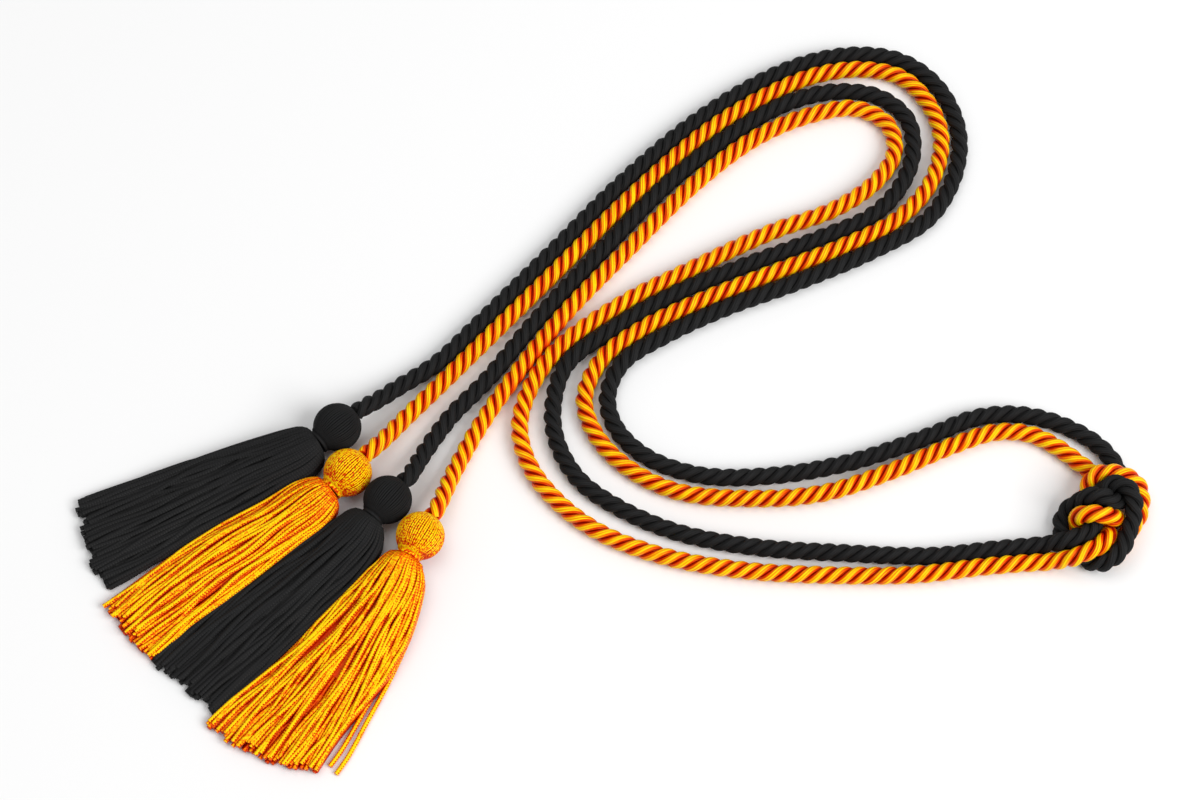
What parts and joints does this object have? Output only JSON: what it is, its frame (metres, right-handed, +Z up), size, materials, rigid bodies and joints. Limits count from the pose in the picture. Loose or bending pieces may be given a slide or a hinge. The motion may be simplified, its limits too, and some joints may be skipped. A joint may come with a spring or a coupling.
{
  "type": "honor cord",
  "caption": "Dark and golden twisted ropes, tied together in one knot and laid in folds on a surface, each with a round-headed tassel at both ends.",
  "frame": {"origin": "on the surface that the cord lies on, under the middle of the box round the four tassels, the ropes left out", "axes": "+Z up from the surface; +X from the tassels towards the knot; +Y towards the upper fold"},
  "size_m": [0.4191, 0.3216, 0.0202],
  "materials": {
    "black_yarn": "soft satin, three-strand twisted yarn",
    "gold_yarn": "satin, three-strand twisted rayon yarn",
    "black_thread": "matte wound thread",
    "gold_thread": "satin wound thread",
    "black_chainette": "matte knitted chainette strands",
    "gold_chainette": "satin knitted chainette strands"
  },
  "bodies": {
    "root": {"black_rope": "black_yarn", "gold_rope": "gold_yarn", "black_tassel_1_head": "black_thread", "black_tassel_1_binding": "black_thread", "black_tassel_1_fringe": "black_chainette", "black_tassel_2_head": "black_thread", "black_tassel_2_binding": "black_thread", "black_tassel_2_fringe": "black_chainette", "gold_tassel_1_head": "gold_thread", "gold_tassel_1_binding": "gold_thread", "gold_tassel_1_fringe": "gold_chainette", "gold_tassel_2_head": "gold_thread", "gold_tassel_2_binding": "gold_thread", "gold_tassel_2_fringe": "gold_chainette"}
  },
  "joints": []
}
